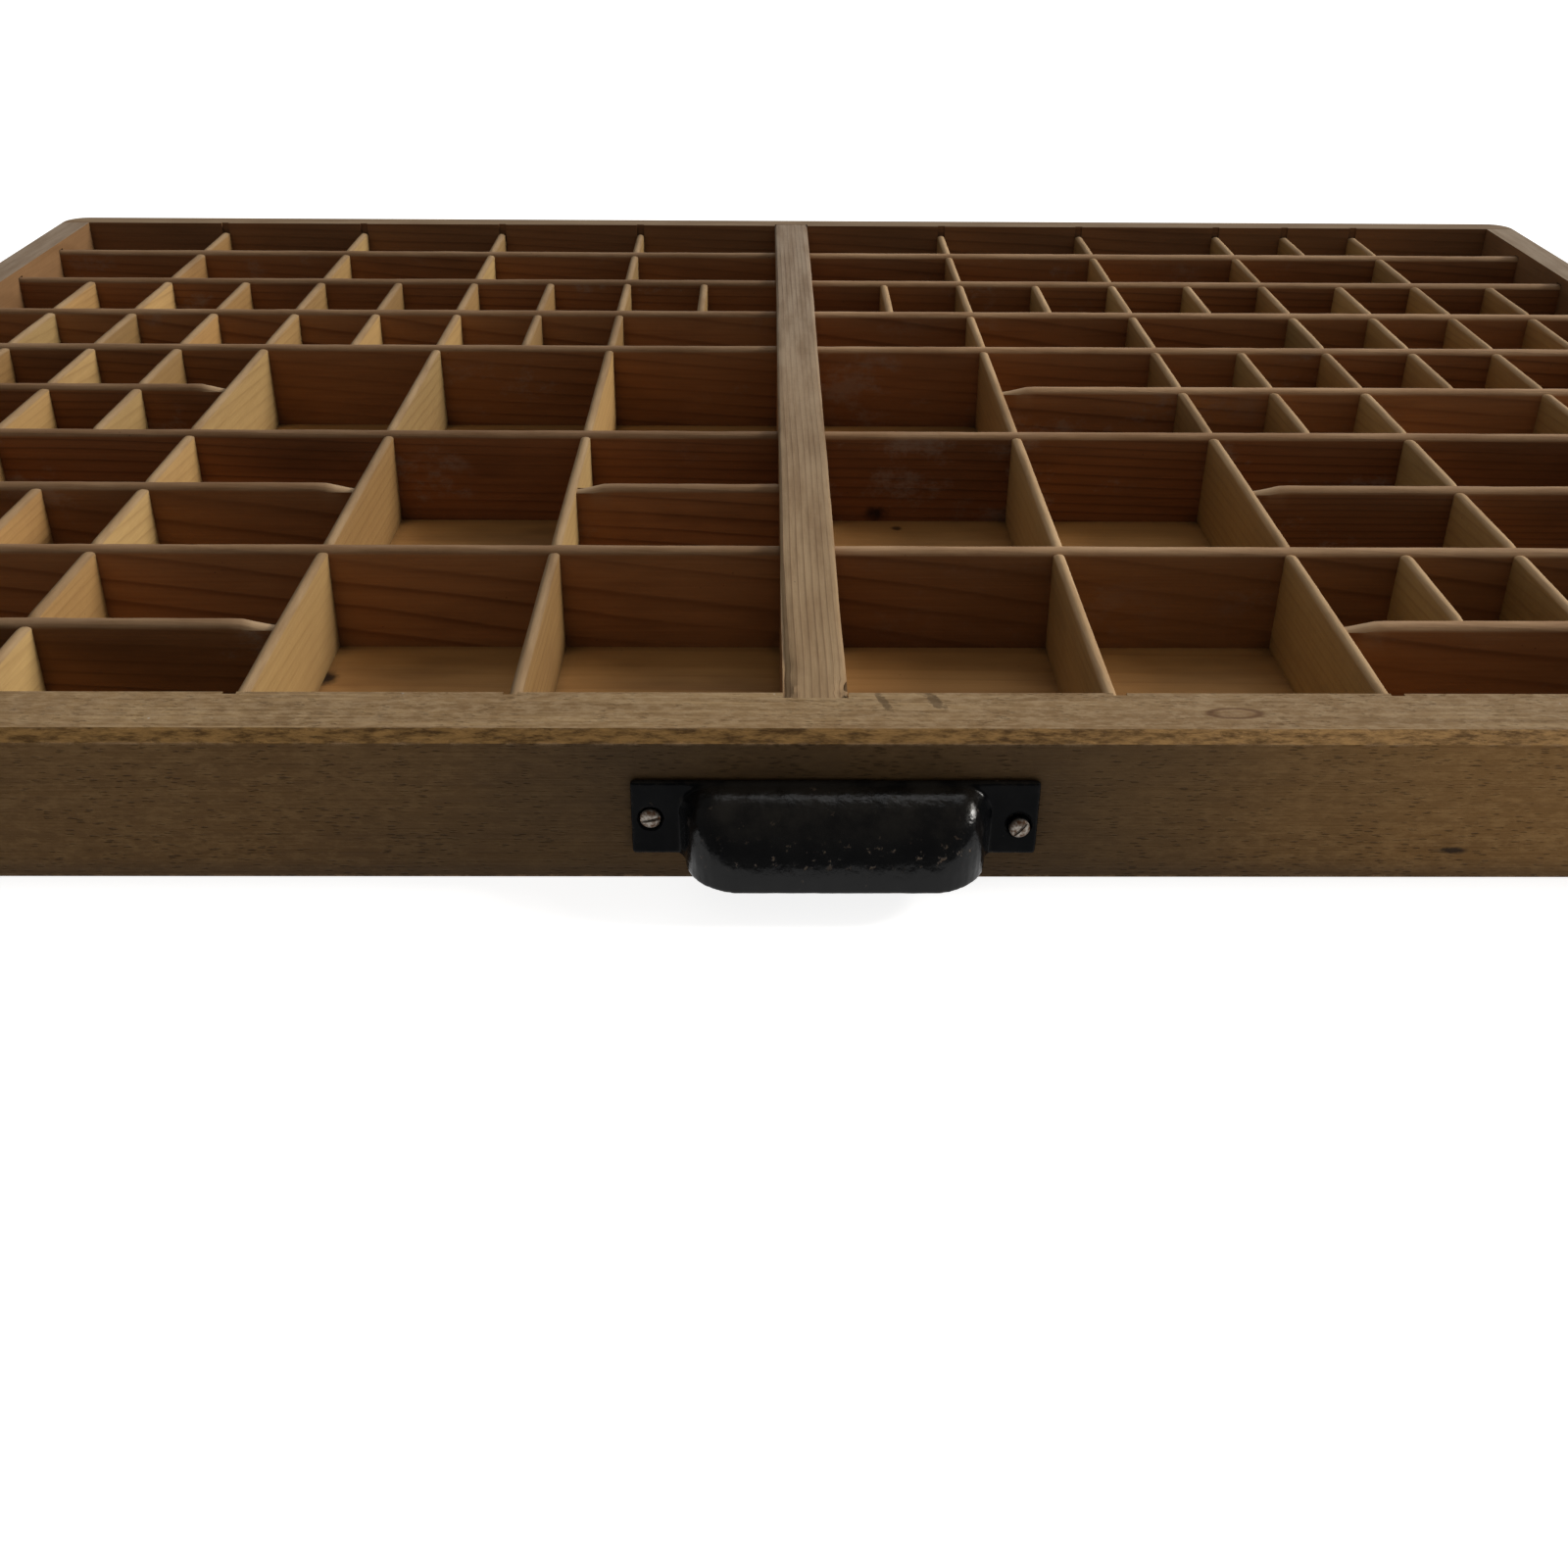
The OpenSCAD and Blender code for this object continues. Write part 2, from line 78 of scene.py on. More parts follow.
# ---------------------------------------------------------------- node helpers
class Tree:
    """Short calls for building a node tree."""

    def __init__(self, tree):
        self.t = tree
        tree.nodes.clear()

    def new(self, kind, **props):
        n = self.t.nodes.new(kind)
        for k, v in props.items():
            setattr(n, k, v)
        return n

    def link(self, a, b):
        self.t.links.new(a, b)

    def put(self, socket, v):
        if isinstance(v, bpy.types.NodeSocket):
            self.link(v, socket)
        elif v is not None:
            socket.default_value = v

    def math(self, op, a, b=None, clamp=False):
        n = self.new("ShaderNodeMath", operation=op, use_clamp=clamp)
        self.put(n.inputs[0], a)
        self.put(n.inputs[1], b)
        return n.outputs[0]

    def vmath(self, op, a, b=None, scale=None):
        n = self.new("ShaderNodeVectorMath", operation=op)
        self.put(n.inputs[0], a)
        if b is not None:
            self.put(n.inputs[1], b)
        if scale is not None:
            self.put(n.inputs["Scale"], scale)
        return n.outputs["Value"] if op in ("LENGTH", "DOT_PRODUCT", "DISTANCE") else n.outputs[0]

    def noise(self, vec, scale, detail=3.0, rough=0.55):
        n = self.new("ShaderNodeTexNoise", noise_dimensions="3D")
        self.put(n.inputs["Vector"], vec)
        n.inputs["Scale"].default_value = scale
        n.inputs["Detail"].default_value = detail
        n.inputs["Roughness"].default_value = rough
        return n.outputs["Fac"]

    def noise_vec(self, vec, scale, detail=2.0):
        n = self.new("ShaderNodeTexNoise", noise_dimensions="3D")
        self.put(n.inputs["Vector"], vec)
        n.inputs["Scale"].default_value = scale
        n.inputs["Detail"].default_value = detail
        return n.outputs["Color"]

    def voronoi(self, vec, scale):
        n = self.new("ShaderNodeTexVoronoi")
        self.put(n.inputs["Vector"], vec)
        n.inputs["Scale"].default_value = scale
        return n

    def ramp(self, fac, stops):
        n = self.new("ShaderNodeValToRGB")
        el = n.color_ramp.elements
        while len(el) > 1:
            el.remove(el[-1])
        el[0].position = stops[0][0]
        el[0].color = col(stops[0][1])
        for p, c in stops[1:]:
            e = el.new(p)
            e.color = col(c)
        self.put(n.inputs[0], fac)
        return n.outputs[0]

    def step(self, v, lo, hi, a=0.0, b=1.0):
        """Smooth step of v from lo to hi, giving a to b."""
        n = self.new("ShaderNodeMapRange", interpolation_type="SMOOTHSTEP")
        self.put(n.inputs["Value"], v)
        n.inputs["From Min"].default_value = lo
        n.inputs["From Max"].default_value = hi
        n.inputs["To Min"].default_value = a
        n.inputs["To Max"].default_value = b
        return n.outputs["Result"]

    def mix(self, fac, a, b, blend="MIX"):
        n = self.new("ShaderNodeMix", data_type="RGBA", blend_type=blend)
        self.put(n.inputs[0], fac)
        self.put(n.inputs[6], col(a) if isinstance(a, tuple) else a)
        self.put(n.inputs[7], col(b) if isinstance(b, tuple) else b)
        return n.outputs[2]

    def mapping(self, vec, scale=(1, 1, 1), loc=(0, 0, 0), rot=(0, 0, 0)):
        n = self.new("ShaderNodeMapping")
        self.put(n.inputs[0], vec)
        n.inputs["Location"].default_value = loc
        n.inputs["Rotation"].default_value = rot
        n.inputs["Scale"].default_value = scale
        return n.outputs[0]

    def sep(self, vec):
        n = self.new("ShaderNodeSeparateXYZ")
        self.put(n.inputs[0], vec)
        return n.outputs

    def comb(self, x, y, z):
        n = self.new("ShaderNodeCombineXYZ")
        self.put(n.inputs[0], x)
        self.put(n.inputs[1], y)
        self.put(n.inputs[2], z)
        return n.outputs[0]


def col(c):
    return (c, c, c, 1) if isinstance(c, (int, float)) else (*c[:3], 1)


def material(name):
    m = bpy.data.materials.new(name)
    m.use_nodes = True
    return m, Tree(m.node_tree)


def principled(t, color, rough, normal=None, metallic=0.0, specular=0.35):
    p = t.new("ShaderNodeBsdfPrincipled")
    t.put(p.inputs["Base Color"], color)
    t.put(p.inputs["Roughness"], rough)
    p.inputs["Metallic"].default_value = metallic
    p.inputs["Specular IOR Level"].default_value = specular
    if normal is not None:
        t.link(normal, p.inputs["Normal"])
    o = t.new("ShaderNodeOutputMaterial")
    t.link(p.outputs[0], o.inputs[0])
    return p


def bump(t, height, strength, distance, normal=None):
    b = t.new("ShaderNodeBump")
    b.inputs["Strength"].default_value = strength
    b.inputs["Distance"].default_value = distance
    t.link(height, b.inputs["Height"])
    if normal is not None:
        t.link(normal, b.inputs["Normal"])
    return b.outputs[0]


# ---------------------------------------------------------------- wood
def wood_core(t, vec, early, late, period, pith, contrast=1.0, warp=0.0030):
    """Ring pattern of a sawn board. vec runs (along the grain, up, through), in metres.
    Returns (colour, latewood mask, fibre streaks)."""
    low = t.noise_vec(t.mapping(vec, scale=(0.16, 1, 1)), 22, 2.0)
    low = t.vmath("SCALE", t.vmath("SUBTRACT", low, (0.5, 0.5, 0.5)), scale=warp * 2)
    fine = t.noise_vec(t.mapping(vec, scale=(0.10, 1, 1)), 130, 2.0)
    fine = t.vmath("SCALE", t.vmath("SUBTRACT", fine, (0.5, 0.5, 0.5)), scale=warp * 0.22)
    v = t.vmath("ADD", t.vmath("ADD", vec, low), fine)
    x, y, z = t.sep(v)
    y = t.math("ADD", y, pith[0])
    z = t.math("ADD", t.math("ADD", z, pith[1]), t.math("MULTIPLY", x, pith[2]))
    r = t.math("SQRT", t.math("ADD", t.math("MULTIPLY", y, y), t.math("MULTIPLY", z, z)))
    widen = t.noise(t.comb(0.0, 0.0, r), 90, 1.0)
    r = t.math("DIVIDE", r, period)
    r = t.math("ADD", r, t.math("MULTIPLY", widen, 1.6))
    saw = t.math("FRACT", r)
    ring = t.ramp(saw, [(0.0, 0.08), (0.45, 0.0), (0.72, 0.30), (0.88, 1.0), (0.94, 0.9), (1.0, 0.1)])
    fade = t.step(t.noise(t.mapping(vec, scale=(0.25, 1, 1)), 34, 2.0), 0.30, 0.66, 0.35, 1.0)
    ring = t.math("MULTIPLY", t.math("MULTIPLY", ring, fade), contrast, clamp=True)
    streak = t.noise(t.mapping(vec, scale=(0.022, 1, 1)), 1500, 3.0, 0.6)
    streak2 = t.noise(t.mapping(vec, scale=(0.05, 1, 1)), 420, 3.0, 0.6)
    c = t.mix(ring, early, late)
    c = t.mix(t.step(streak, 0.3, 0.75, 0.0, 0.30), c, t.mix(0.6, c, late))
    c = t.mix(t.step(streak2, 0.45, 0.8, 0.0, 0.32), c, t.mix(0.7, c, late))
    return c, ring, streak


def board_wood(name, early, late, period=0.0026, src="attr", pith=(0.035, 0.012, 0.05),
               top_grey=None, top_front=None, top_mix=0.85, top_ring=0.35,
               contrast=1.0, stain=0.35, stain_c=(0.05, 0.027, 0.014), chalk=0.0, warp=0.0030,
               spots=(), corner_dirt_and_shade=0.75, rough=0.62, axis="X", offset=(0, 0, 0), spread=0.25, bump_s=0.5):
    """Old bare wood. src attr reads the board's own coordinates, src obj uses the row frame."""
    m, t = material(name)
    pos = t.new("ShaderNodeTexCoord").outputs["Object"]
    if src == "attr":
        a = t.new("ShaderNodeAttribute", attribute_name="bp")
        vec = a.outputs["Vector"]
        seed = t.new("ShaderNodeAttribute", attribute_name="bs").outputs["Fac"]
    else:
        rot = (0, 0, math.pi / 2) if axis == "Y" else (0, 0, 0)
        vec = t.mapping(pos, rot=rot, loc=offset)
        x, y, z = t.sep(vec)
        vec = t.comb(x, z, y)
    c, ring, streak = wood_core(t, vec, early, late, period, pith, contrast, warp)
    # each board has its own tone
    if src == "attr":
        tone = t.step(seed, 0.0, 1.0, 1.0 - spread, 1.0 + spread)
        c = t.mix(1.0, c, t.comb(tone, tone, tone), "MULTIPLY")
        hue = t.math("FRACT", t.math("MULTIPLY", seed, 7.31))
        c = t.mix(t.math("MULTIPLY", hue, 0.35), c, t.mix(1.0, c, (1.10, 0.86, 0.70), "MULTIPLY"))
    # handling stains and grey weathering
    big = t.noise(t.mapping(vec, scale=(0.35, 1, 1)), 26, 4.0, 0.6)
    c = t.mix(t.step(big, 0.42, 0.78, 0.0, stain), c, stain_c)
    blot = t.noise(pos, 9, 3.0, 0.6)
    c = t.mix(t.step(blot, 0.35, 0.7, 0.0, 0.22), c, t.mix(1.0, c, (0.72, 0.66, 0.6), "MULTIPLY"))
    # knots now and then
    if src == "attr":
        kv = t.voronoi(t.mapping(vec, scale=(1, 1.0, 0.2)), 7.0)
        kd = kv.outputs["Distance"]
        kmask = t.step(kd, 0.030, 0.052, 0.85, 0.0)
        khit = t.math("GREATER_THAN", t.sep(kv.outputs["Color"])[0], 0.80)
        c = t.mix(t.math("MULTIPLY", kmask, khit), c, (0.035, 0.014, 0.007))
    # chalky patches
    if chalk:
        ch = t.noise(t.mapping(vec, scale=(0.7, 1, 1)), 46, 6.0, 0.72)
        where = t.step(t.noise(pos, 17, 2.0), 0.50, 0.62)
        c = t.mix(t.math("MULTIPLY", t.step(ch, 0.52, 0.68, 0.0, chalk), where), c, (0.30, 0.235, 0.19))
    for sx, sy, sz, sr, dark in spots:
        d = t.vmath("SUBTRACT", pos, (sx, sy, sz))
        d = t.vmath("LENGTH", t.vmath("MULTIPLY", d, (1.0, 1.0, 1.5)))
        d = t.math("ADD", t.math("DIVIDE", d, sr),
                   t.math("MULTIPLY", t.math("SUBTRACT", t.noise(pos, 420, 3.0), 0.5), 0.7))
        c = t.mix(t.step(d, 0.35, 1.15, dark, 0.0), c, (0.012, 0.006, 0.004))
    # top surfaces are rubbed and greyed
    geo = t.new("ShaderNodeNewGeometry")
    nz = t.sep(geo.outputs["Normal"])[2]
    if top_grey is not None:
        up = t.step(nz, -0.02, 0.45)
        if top_front is not None:
            yy = t.sep(pos)[1]
            top_grey = t.mix(t.step(yy, frl.y, brh.y), top_front, top_grey)
        rub = t.noise(t.mapping(vec, scale=(0.12, 1, 1)), 210, 4.0, 0.65)
        grey = t.mix(t.step(rub, 0.30, 0.72), top_grey,
                     t.mix(1.0, top_grey, (0.66, 0.60, 0.54), "MULTIPLY"))
        # painted light: the tops in the right half, towards the key light, are made 1.65 times lighter
        if src == "attr" and top_front is None:
            side = t.step(t.sep(pos)[0], -0.02, 0.02, 1.0, 1.65)
            grey = t.mix(1.0, grey, t.comb(side, side, side), "MULTIPLY")
        grey = t.mix(t.math("MULTIPLY", ring, top_ring), grey,
                     t.mix(1.0, grey, (0.6, 0.5, 0.42), "MULTIPLY"))
        c = t.mix(t.math("MULTIPLY", up, top_mix), c, grey)
        fresh = t.new("ShaderNodeAttribute", attribute_name="bf").outputs["Fac"]
        c = t.mix(t.math("MULTIPLY", fresh, 0.75), c, (0.46, 0.32, 0.19))
    # grime and painted shade in the corners: ambient occlusion darkens the wood where parts meet
    ao = t.new("ShaderNodeAmbientOcclusion", samples=6, only_local=False)
    ao.inputs["Distance"].default_value = 0.007
    occ = t.math("SUBTRACT", 1.0, ao.outputs["AO"])
    corner_mottle = t.noise(pos, 260, 4.0, 0.7)
    d = t.math("MULTIPLY", t.step(occ, 0.30, 0.92), t.step(corner_mottle, 0.25, 0.62, 0.45, 1.0))
    c = t.mix(t.math("MULTIPLY", d, corner_dirt_and_shade), c, (0.018, 0.011, 0.007))
    # specks of dust and dark pinholes
    sp = t.voronoi(pos, 330).outputs["Distance"]
    c = t.mix(t.math("MULTIPLY", t.step(sp, 0.05, 0.09, 1.0, 0.0),
                     t.step(t.noise(pos, 60, 2.0), 0.58, 0.66, 0.0, 0.55)), c, (0.02, 0.013, 0.01))
    rg = t.math("ADD", t.math("MULTIPLY", streak, 0.22), rough - 0.10)
    rg = t.math("ADD", rg, t.math("MULTIPLY", ring, -0.10))
    relief = t.math("ADD", t.math("MULTIPLY", streak, 0.8), t.math("MULTIPLY", ring, 0.55))
    n = bump(t, relief, bump_s, 0.00022)
    dents = t.noise(pos, 75, 3.0, 0.6)
    n = bump(t, dents, 0.35, 0.0007, n)
    principled(t, c, rg, n, specular=0.14)
    return m


# dark spots, as (x, y, z, radius, darkness): the first of each is a knot of the real case
STRIP_SPOTS = ((0.0245, -0.0387, 0.0070, 0.0052, 0.92),
               (-0.205, -0.1317, 0.021, 0.0030, 0.6),
               (0.085, 0.0543, 0.012, 0.0034, 0.7))
FLOOR_SPOTS = ((-0.1302, -0.1532, FLOOR, 0.0046, 0.96),
               (0.031, -0.047, FLOOR, 0.0020, 0.8),
               (-0.262, 0.021, FLOOR, 0.0025, 0.7))
PINE_EARLY = (0.330, 0.145, 0.054)
PINE_LATE = (0.120, 0.044, 0.016)
GREY_TOP = (0.300, 0.196, 0.112)

strip_mats = [
    board_wood("strip_wood_a", PINE_EARLY, PINE_LATE, 0.0026, pith=(0.030, 0.016, 0.050),
               top_grey=GREY_TOP, chalk=0.42, contrast=0.70,
               stain=0.60, stain_c=(0.060, 0.022, 0.009), spots=STRIP_SPOTS),
    board_wood("strip_wood_b", (0.360, 0.165, 0.064), (0.150, 0.056, 0.020), 0.0038,
               pith=(0.004, 0.050, 0.080), top_grey=GREY_TOP, chalk=0.35, contrast=0.75,
               stain=0.58, stain_c=(0.085, 0.030, 0.011), spots=STRIP_SPOTS),
    board_wood("strip_wood_c", (0.300, 0.124, 0.045), (0.115, 0.040, 0.014), 0.0020,
               pith=(0.055, 0.010, 0.020), top_grey=(0.265, 0.170, 0.095), chalk=0.50,
               contrast=0.65, stain=0.62, stain_c=(0.050, 0.020, 0.009), spots=STRIP_SPOTS),
]
div_mats = [
    board_wood("divider_wood_a", (0.425, 0.285, 0.118), (0.250, 0.145, 0.054), 0.0022,
               pith=(0.040, 0.020, 0.060), top_grey=(0.330, 0.226, 0.128),
               stain=0.36, stain_c=(0.15, 0.076, 0.032), contrast=0.45),
    board_wood("divider_wood_b", (0.375, 0.235, 0.092), (0.215, 0.116, 0.042), 0.0017,
               pith=(0.012, 0.045, 0.030), top_grey=(0.300, 0.204, 0.114),
               stain=0.42, stain_c=(0.13, 0.062, 0.026), contrast=0.42),
]
stile_mat = board_wood("stile_wood", (0.330, 0.190, 0.092), (0.120, 0.062, 0.028), 0.00135,
                       pith=(0.004, 0.031, 0.006), top_grey=(0.325, 0.262, 0.195),
                       top_front=(0.350, 0.246, 0.136), top_mix=0.86, top_ring=0.80,
                       contrast=1.0, chalk=0.10, spread=0.0, warp=0.0009)


# ---------------------------------------------------------------- boards
def link_obj(name, mesh):
    o = bpy.data.objects.new(name, mesh)
    scene.collection.objects.link(o)
    return o


def fnoise(x, y=0.0, z=0.0):
    return noise.noise(Vector((x, y, z)))


def board_profile(t, z0, z1, arc):
    """Half-round topped section, as (w, z, top weight) round from the lower left corner."""
    pts = []
    for i in range(5):
        f = i / 4
        pts.append((-t / 2, z0 + (z1 - t / 2 - z0) * f, 0.0))
    for i in range(1, arc):
        a = math.pi * (1 - i / arc)
        pts.append((t / 2 * math.cos(a), z1 - t / 2 + t / 2 * math.sin(a), math.sin(a)))
    for i in range(5):
        f = 1 - i / 4
        pts.append((t / 2, z0 + (z1 - t / 2 - z0) * f, 0.0))
    return pts


def square_profile(t, z0, z1, e):
    """Square board with eased top edges."""
    pts = [(-t / 2, z0 + (z1 - z0 - e) * f / 4, 0.0) for f in range(5)]
    for i in range(1, 4):
        a = math.pi / 2 * i / 4
        pts.append((-t / 2 + e - e * math.cos(a), z1 - e + e * math.sin(a), 1.0))
    pts += [(-t / 2 + e + (t - 2 * e) * f / 8, z1, 0.6) for f in range(9)]
    for i in range(1, 4):
        a = math.pi / 2 * (1 - i / 4)
        pts.append((t / 2 - e + e * math.cos(a), z1 - e + e * math.sin(a), 1.0))
    pts += [(t / 2, z0 + (z1 - z0 - e) * (1 - f / 4), 0.0) for f in range(5)]
    return pts


def add_board(bm, layers, axis, a0, a1, c, prof, seed, mat=0, step=0.0035, bow=0.00012, wear=0.00022,
              snipe=None, nicks=0.0, lean=0.0, shape=None):
    """Lofts prof along an axis from a0 to a1, with its middle at c. snipe is (from, to, drop).
    The layers are the board's own coordinates, its seed and how freshly cut it is."""
    n = max(3, int((a1 - a0) / step))
    rings = []
    s = seed * 13.7
    for i in range(n + 1):
        f = i / n
        a = a0 + (a1 - a0) * f
        side = bow * fnoise(a * 9, s, 1.3) + bow * 0.5 * fnoise(a * 41, s, 4.7)
        ring = []
        for k, (w, z, top) in enumerate(prof):
            dz = 0.0
            dw = 0.0
            if top > 0:
                fine = max(0.0, fnoise(a * 160, s + 3, w * 500))
                dz -= wear * top * (0.5 + 0.5 * fnoise(a * 55, s, w * 300)) + wear * 0.7 * top * fine
                bite = max(0.0, fnoise(a * 38, s + 9, w * 120) - 0.55) * nicks
                dz -= bite * top
                dw -= math.copysign(bite * 0.6, w) * top
                if snipe:
                    u = (a - snipe[0]) / (snipe[1] - snipe[0])
                    if u > 0:
                        dz -= snipe[2] * min(1.0, u)
            if shape:
                ew, ez = shape(a, w, top)
                dw, dz = dw + ew, dz + ez
            ww = w + side + dw + lean * (z - prof[0][1])
            zz = z + dz
            co = (a, c + ww, zz) if axis == "X" else (c + ww, a, zz)
            v = bm.verts.new(co)
            v[layers[0]] = Vector((a - a0 + seed * 3.1, z + seed * 1.7, w + seed * 2.3))
            v[layers[1]] = seed
            v[layers[2]] = 0.0
            if snipe:
                u = (a - snipe[0]) / (snipe[1] - snipe[0])
                v[layers[2]] = min(1.0, max(0.0, u * 4)) * top
            ring.append(v)
        rings.append(ring)
    m = len(prof)
    flip = axis == "Y"
    faces = []
    for i in range(n):
        for k in range(m):
            q = [rings[i][k], rings[i][(k + 1) % m], rings[i + 1][(k + 1) % m], rings[i + 1][k]]
            faces.append(bm.faces.new(q if flip else q[::-1]))
    faces.append(bm.faces.new(rings[0] if not flip else rings[0][::-1]))
    faces.append(bm.faces.new(rings[-1][::-1] if not flip else rings[-1]))
    for f in faces:
        f.material_index = mat
        f.smooth = True


def start():
    bm = bmesh.new()
    return bm, (bm.verts.layers.float_vector.new("bp"), bm.verts.layers.float.new("bs"),
                bm.verts.layers.float.new("bf"))


def finish_piece(bm, name, cad, mats, angle=35):
    bmesh.ops.recalc_face_normals(bm, faces=bm.faces)
    mesh = bpy.data.meshes.new(name)
    bm.to_mesh(mesh)
    bm.free()
    for m in mats:
        mesh.materials.append(m)
    mesh.set_sharp_from_angle(angle=math.radians(angle))
    o = link_obj(name, mesh)
    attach(o, "root")
    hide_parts(cad)


def hash01(*v):
    return (math.sin(sum((i + 1) * 12.9898 * x for i, x in enumerate(v)) + 4.1) * 43758.5453) % 1.0


# long and part strips: their ends stop in the housings of the rails, stile and dividers
strip_nodes = sorted(n for n in nodes if "strip" in n)
HOUSED = 1 * MM          # how deep a strip's end sits in its housing
SNIPE_LENGTH = 8.5 * MM  # a free end is cut down over this length
SNIPE_DROP = 2 * MM
for i, n in enumerate(strip_nodes):
    lo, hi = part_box(n)
    bm, layers = start()
    seed = hash01(i, 3.3)
    hall = HALL_L if lo.x < 0 else HALL_R
    snipe = None
    if "part" in n or "short" in n:
        if hi.x < hall[1] - 2 * MM:
            snipe = (hi.x - HOUSED - SNIPE_LENGTH, hi.x - HOUSED, SNIPE_DROP)
        else:
            snipe = (lo.x + HOUSED + SNIPE_LENGTH, lo.x + HOUSED, SNIPE_DROP)
    add_board(bm, layers, "X", lo.x, hi.x, (lo.y + hi.y) / 2,
              board_profile(hi.y - lo.y, lo.z, hi.z, 10), seed,
              step=0.0030, bow=0.00015, wear=0.00022, snipe=snipe, nicks=0.0012)
    finish_piece(bm, n + "_wood", n, [strip_mats[i % 3]])


# dividers: each group is split back into its separate boards
def solids(obj):
    """Boxes of the loose solids of a CAD node."""
    bm = bmesh.new()
    bm.from_mesh(obj.data)
    bmesh.ops.remove_doubles(bm, verts=bm.verts, dist=1e-6)
    seen, out = set(), []
    for v in bm.verts:
        if v in seen:
            continue
        stack, pts = [v], []
        seen.add(v)
        while stack:
            u = stack.pop()
            pts.append(u.co.copy())
            for e in u.link_edges:
                w = e.other_vert(u)
                if w not in seen:
                    seen.add(w)
                    stack.append(w)
        lo = Vector([min(p[k] for p in pts) for k in range(3)])
        hi = Vector([max(p[k] for p in pts) for k in range(3)])
        out.append((lo, hi))
    bm.free()
    return sorted(out, key=lambda b: b[0].x)


FALL_LENGTH = 0.0045  # a divider's top falls towards the strips over this length
FALL_DROP = 0.0011
MAX_LEAN = 0.022      # spread of the lean, as a slope
for n in sorted(n for n in nodes if "dividers" in n):
    bm, layers = start()
    for lo, hi in solids(nodes[n]):
        seed = hash01(lo.x * 91, lo.y * 57)

        def fall(a, w, top, y0=lo.y, y1=hi.y):
            near = max(0.0, 1 - min(a - y0, y1 - a) / FALL_LENGTH)
            return 0.0, -FALL_DROP * top * near * near

        add_board(bm, layers, "Y", lo.y, hi.y, (lo.x + hi.x) / 2,
                  board_profile(hi.x - lo.x, lo.z, hi.z, 8), seed, int(seed * 29) % 2,
                  step=0.0012, bow=0.00018, wear=0.00018, nicks=0.0009,
                  lean=(hash01(seed, 2.2) - 0.5) * MAX_LEAN, shape=fall)
    finish_piece(bm, n + "_wood", n, div_mats)


# centre stile: rubbed hollow on its left edge near the front, splintered at the right of its front end
def stile_wear(a, w, top):
    near = max(0.0, 1 - (a - stl.y) / 0.075)
    half = (sth.x - stl.x) / 2
    ew = ez = 0.0
    if top > 0 and w < -half * 0.8:
        ew += 0.0009 * near ** 0.5 * (0.7 + 0.6 * fnoise(a * 90, 3.1))
        ez -= 0.0005 * near * (1 + fnoise(a * 120, 7.7))
    if top > 0 and w > half * 0.55:
        end = max(0.0, 1 - (a - stl.y) / 0.016)
        rag = max(0.0, fnoise(a * 420, w * 900, 5.5) + 0.35)
        ew -= 0.0016 * end * rag * (w / half)
        ez -= 0.0021 * end * rag * ((w / half) - 0.5) * 2
    return ew, ez


bm, layers = start()
add_board(bm, layers, "Y", stl.y, sth.y, (stl.x + sth.x) / 2,
          square_profile(sth.x - stl.x, stl.z, sth.z, 0.0009), 0.37,
          step=0.0016, bow=0.0002, wear=0.00022, nicks=0.0016, shape=stile_wear)
finish_piece(bm, "centre_stile_wood", "centre_stile", [stile_mat])


# ------------------------------------------------ rails and bottom board: CAD shapes, eased edges
# marks of the real front rail
CRACK_AT = (0.1435, FRONT, 0.0072)
STAINS = ((0.0152, FRONT + 0.0145, -0.285, 0.0011, 0.0058),  # x, y, turn, half width, half length
          (0.0265, FRONT + 0.0152, -0.375, 0.0016, 0.0052))
OVAL_AT = (0.0923, FRONT + 0.0096, TOP)
OVAL_HALF = (0.0055, 0.0022)


